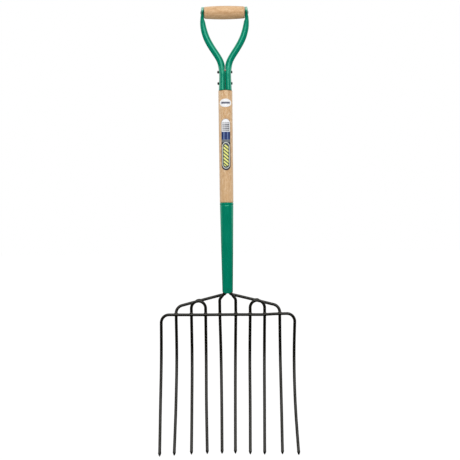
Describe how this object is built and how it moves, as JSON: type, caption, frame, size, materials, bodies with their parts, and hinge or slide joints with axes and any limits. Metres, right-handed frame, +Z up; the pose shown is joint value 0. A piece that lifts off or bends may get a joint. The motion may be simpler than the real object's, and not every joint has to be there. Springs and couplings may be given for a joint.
{
  "type": "garden fork",
  "caption": "Long-tined manure fork: round steel rods bent and welded to a crossbar, a tapered socket, a wooden shaft and a Y handle with a turned wooden grip.",
  "frame": {"origin": "on the ground under the middle of the bounding box, with the tool upright on its points", "axes": "+Z up the shaft to the grip, +X to the right across the tines when the hollow side faces the viewer, -Y out of the hollow (front) side"},
  "size_m": [0.3694, 0.0956, 1.1802],
  "materials": {
    "black_lacquer": "satin black lacquer on steel rod",
    "weld_metal": "lacquered weld bead",
    "green_paint": "satin enamel",
    "dark_steel": "dark oiled steel",
    "shaft_wood": "clear-varnished ash",
    "grip_wood": "clear-varnished turned ash",
    "white_label": "gloss white paper",
    "printed_label": "gloss printed paper"
  },
  "bodies": {
    "fork": {"grip_rivet": "green_paint", "left_handle_arm": "green_paint", "right_handle_arm": "green_paint", "lower_handle_rivet": "dark_steel", "upper_handle_rivet": "dark_steel", "shaft": "shaft_wood", "oval_label": "white_label", "strip_label": "printed_label", "socket": "green_paint", "socket_nail": "green_paint", "rod_collar": "dark_steel", "outer_bow_rod": "black_lacquer", "left_diagonal_rod": "black_lacquer", "right_diagonal_rod": "black_lacquer", "left_hairpin_rod": "black_lacquer", "right_hairpin_rod": "black_lacquer", "left_centre_rod": "black_lacquer", "right_centre_rod": "black_lacquer", "bar_weld_2": "weld_metal", "bar_weld_3": "weld_metal", "bar_weld_4": "weld_metal", "bar_weld_5": "weld_metal", "bar_weld_6": "weld_metal", "bar_weld_7": "weld_metal", "bar_weld_8": "weld_metal", "bar_weld_9": "weld_metal", "left_arch_weld": "weld_metal", "left_root_weld": "weld_metal", "right_arch_weld": "weld_metal", "right_root_weld": "weld_metal"},
    "grip": {"grip": "grip_wood"}
  },
  "joints": [
    {"name": "grip_turn", "type": "hinge", "parent": "fork", "child": "grip", "pos_m": [0.00087, 0.02887, 1.1623], "axis": [1, 0, 0], "continuous": true}
  ]
}
